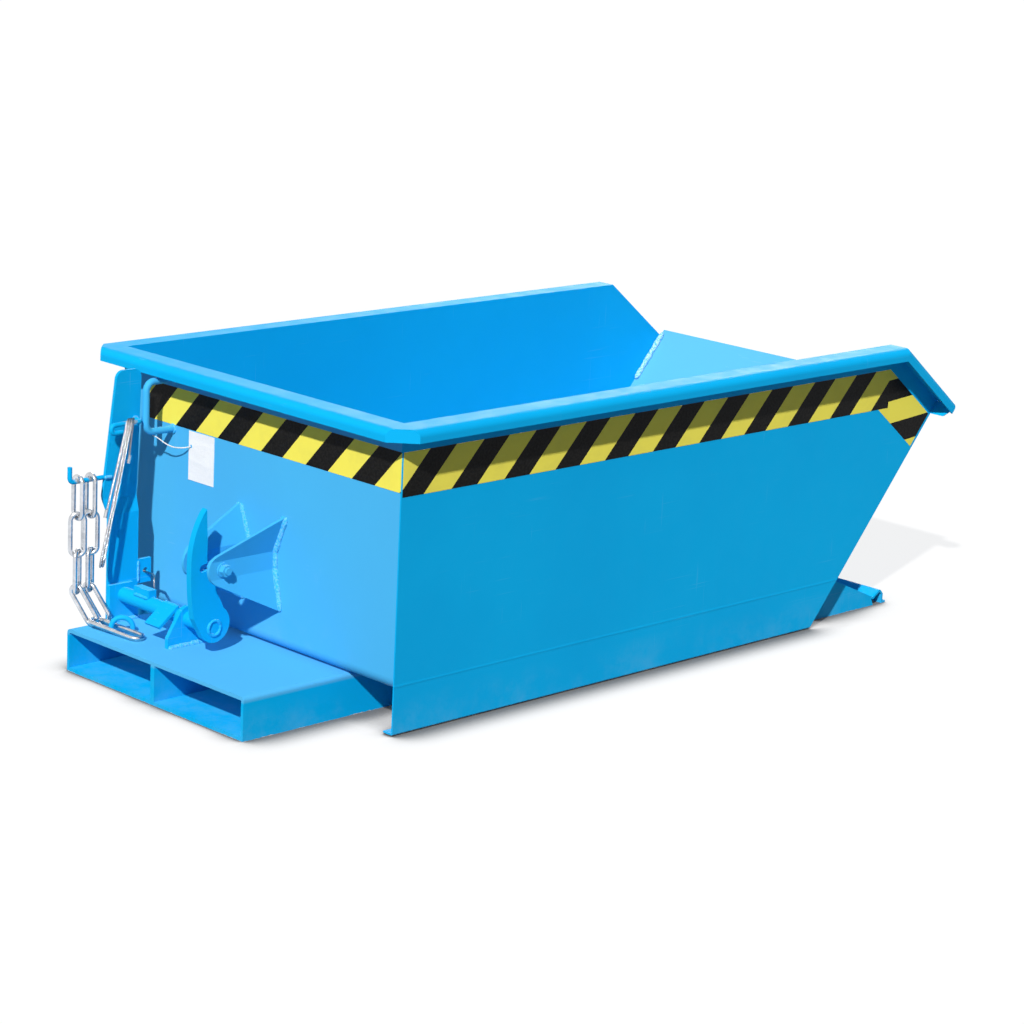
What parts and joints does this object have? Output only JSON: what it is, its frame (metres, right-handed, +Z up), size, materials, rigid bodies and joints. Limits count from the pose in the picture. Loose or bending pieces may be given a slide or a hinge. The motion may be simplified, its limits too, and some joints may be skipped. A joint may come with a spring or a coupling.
{
  "type": "tipping skip",
  "caption": "Low steel tipping skip: a tapered hopper with turned rim and warning tape, hinged at the front of a base with fork pockets and held by a hook latch",
  "frame": {"origin": "middle of the base's underside, on the ground the skip stands on", "axes": "+X to the front, the side it tips to; +Y to the left; +Z up"},
  "size_m": [1.569, 0.8, 0.51],
  "materials": {
    "blue_paint": "semi-gloss blue paint over sheet steel, scuffed at edges",
    "zinc_steel": "dull bright zinc",
    "warning_tape": "yellow adhesive tape with black diagonal stripes",
    "tag_card": "blank white card",
    "tag_cord": "thin twine",
    "wire_rope": "stranded steel rope"
  },
  "bodies": {
    "base": {"pocket_shell": "blue_paint", "pocket_floor": "blue_paint", "pocket_web": "blue_paint", "cross_bar": "blue_paint", "seat_bar": "blue_paint", "ramp_sheet": "blue_paint", "ramp_cheek_left": "blue_paint", "ramp_cheek_right": "blue_paint", "ramp_rib_left": "blue_paint", "ramp_rib_mid": "blue_paint", "ramp_rib_right": "blue_paint", "hinge_fork_left_inner": "blue_paint", "hinge_fork_left_outer": "blue_paint", "hinge_fork_right_inner": "blue_paint", "hinge_fork_right_outer": "blue_paint", "shaft_bracket_near": "blue_paint", "shaft_bracket_far": "blue_paint", "post": "blue_paint", "rope_hook": "blue_paint", "chain_peg": "blue_paint", "spring_ear": "blue_paint", "chain_eye": "blue_paint", "hinge_pin_left": "zinc_steel", "hinge_pin_right": "zinc_steel", "hinge_washers": "zinc_steel", "hinge_cotters": "zinc_steel", "chain_links": "zinc_steel", "chain_end_link": "zinc_steel", "spring_wire": "zinc_steel", "rope_ferrules": "zinc_steel", "rope_hank": "wire_rope"},
    "hopper": {"trough": "blue_paint", "side_left": "blue_paint", "side_right": "blue_paint", "rim_rear": "blue_paint", "rim_left": "blue_paint", "rim_right": "blue_paint", "tape_rear": "warning_tape", "tape_left": "warning_tape", "tape_right": "warning_tape", "tag": "tag_card", "tag_string": "tag_cord", "grab_handle": "blue_paint", "catch_lug_left": "blue_paint", "catch_lug_right": "blue_paint", "catch_bolt": "blue_paint", "catch_nut": "blue_paint", "catch_washers": "blue_paint", "hinge_hanger_left": "blue_paint", "hinge_hanger_right": "blue_paint", "rim_cap_left": "blue_paint", "rim_cap_right": "blue_paint", "tape_front_left": "warning_tape", "tape_front_right": "warning_tape"},
    "latch": {"latch_shaft": "blue_paint", "latch_hook": "blue_paint", "latch_tab": "blue_paint", "latch_block": "blue_paint"}
  },
  "joints": [
    {"name": "hopper_tip", "type": "hinge", "parent": "base", "child": "hopper", "pos_m": [0.564, 0, 0.055], "axis": [0, 1, 0], "range_deg": [0, 58]},
    {"name": "latch_swing", "type": "hinge", "parent": "base", "child": "latch", "pos_m": [-0.641, 0, 0.118], "axis": [0, 1, 0], "range_deg": [-25, 9]}
  ]
}
